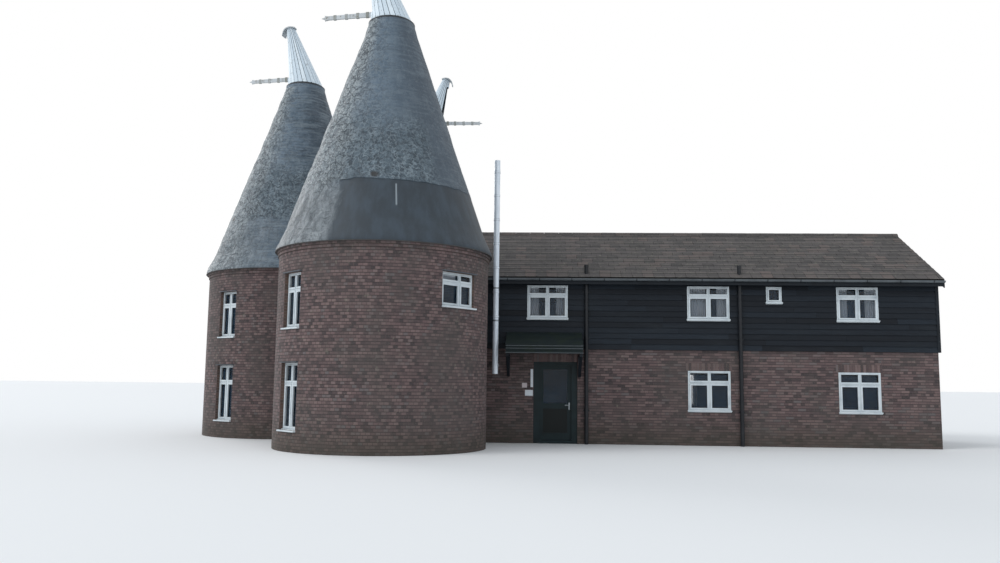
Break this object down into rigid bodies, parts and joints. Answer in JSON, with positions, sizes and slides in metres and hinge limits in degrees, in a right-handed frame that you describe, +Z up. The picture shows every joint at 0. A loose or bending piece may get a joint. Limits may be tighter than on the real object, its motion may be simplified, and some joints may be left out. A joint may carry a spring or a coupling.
{
  "type": "oast house",
  "caption": "Oast house: a long two-storey boarded stowage with round brick kilns, conical roofs and turning white cowls with vane arms.",
  "frame": {"origin": "on the ground, on the stowage's centre line, 1.4 m in from its kiln end", "axes": "+X along the stowage away from the kilns, +Y from the entrance front to the back, +Z up"},
  "size_m": [21.6087, 15.4796, 13.285],
  "materials": {
    "brickwork": null,
    "kiln_roof_coating": "dark grey weathered coating over tiled courses, mottled and streaked",
    "white_painted_boards": "white painted boards, weathered",
    "dark_sheet_metal": "dull grey sheet metal",
    "dark_timber": "bare weathered oak",
    "white_painted_frames": "white painted joinery",
    "window_glass": "clear glass",
    "black_weatherboard": "black stained weatherboard",
    "clay_tiles": "brown-grey plain clay tiles, weathered",
    "black_painted_timber": "black painted timber",
    "black_pipe": "black rainwater goods",
    "green_painted_door": "dark blue-green painted joinery",
    "stainless_flue": "satin stainless steel",
    "concrete_floor": "plain concrete",
    "floor_boards": "plain floor boards"
  },
  "bodies": {
    "house": {"back_boarded_wall": "black_weatherboard", "back_kiln_roof": "kiln_roof_coating", "back_kiln_wall": "brickwork", "back_kiln_window_bays": "brickwork", "back_roof_slope": "clay_tiles", "back_wall": "brickwork", "barge_boards": "black_painted_timber", "canopy_brackets": "black_painted_timber", "cowl_curbs": "dark_timber", "cowl_foot_beams": "dark_timber", "eaves_fascias": "black_painted_timber", "entrance_canopy": "black_painted_timber", "entrance_frame": "green_painted_door", "flue": "stainless_flue", "flue_straps": "stainless_flue", "front_boarded_wall": "black_weatherboard", "front_kiln_roof": "kiln_roof_coating", "front_kiln_wall": "brickwork", "front_kiln_window_bays": "brickwork", "front_roof_slope": "clay_tiles", "front_wall_left_of_door": "brickwork", "front_wall_over_door": "brickwork", "front_wall_right_of_door": "brickwork", "gutters": "black_pipe", "kiln_ground_floors": "concrete_floor", "kiln_upper_floors": "floor_boards", "left_end_wall": "brickwork", "left_kiln_roof": "kiln_roof_coating", "left_kiln_wall": "brickwork", "left_kiln_window_bays": "brickwork", "ridge_tiles": "clay_tiles", "right_boarded_gable": "black_weatherboard", "right_end_wall": "brickwork", "stowage_ground_floor": "concrete_floor", "stowage_upper_floor": "floor_boards", "vent_pipes": "black_pipe", "window_frames": "white_painted_frames", "window_glass": "window_glass", "window_sills": "white_painted_frames"},
    "front_cowl": {"front_cowl_shell": "white_painted_boards", "front_cowl_cap": "dark_sheet_metal", "front_cowl_post": "dark_timber", "front_vane_arm": "white_painted_boards"},
    "left_cowl": {"left_cowl_shell": "white_painted_boards", "left_cowl_cap": "dark_sheet_metal", "left_cowl_post": "dark_timber", "left_vane_arm": "white_painted_boards"},
    "back_cowl": {"back_cowl_shell": "white_painted_boards", "back_cowl_cap": "dark_sheet_metal", "back_cowl_post": "dark_timber", "back_vane_arm": "white_painted_boards"},
    "entrance_door_leaf": {"entrance_door": "green_painted_door", "entrance_door_glass": "window_glass"}
  },
  "joints": [
    {"name": "front_cowl_turn", "type": "hinge", "parent": "house", "child": "front_cowl", "pos_m": [0, -4.97, 11.19], "axis": [0, 0, 1], "continuous": true},
    {"name": "left_cowl_turn", "type": "hinge", "parent": "house", "child": "left_cowl", "pos_m": [-3.6907, 0, 11.19], "axis": [0, 0, 1], "continuous": true},
    {"name": "back_cowl_turn", "type": "hinge", "parent": "house", "child": "back_cowl", "pos_m": [-0.24, 4.97, 11.19], "axis": [0, 0, 1], "continuous": true},
    {"name": "entrance_door_swing", "type": "hinge", "parent": "house", "child": "entrance_door_leaf", "pos_m": [4.0235, -2.552, 0.08], "axis": [0, 0, 1], "range_deg": [0, 90]}
  ]
}
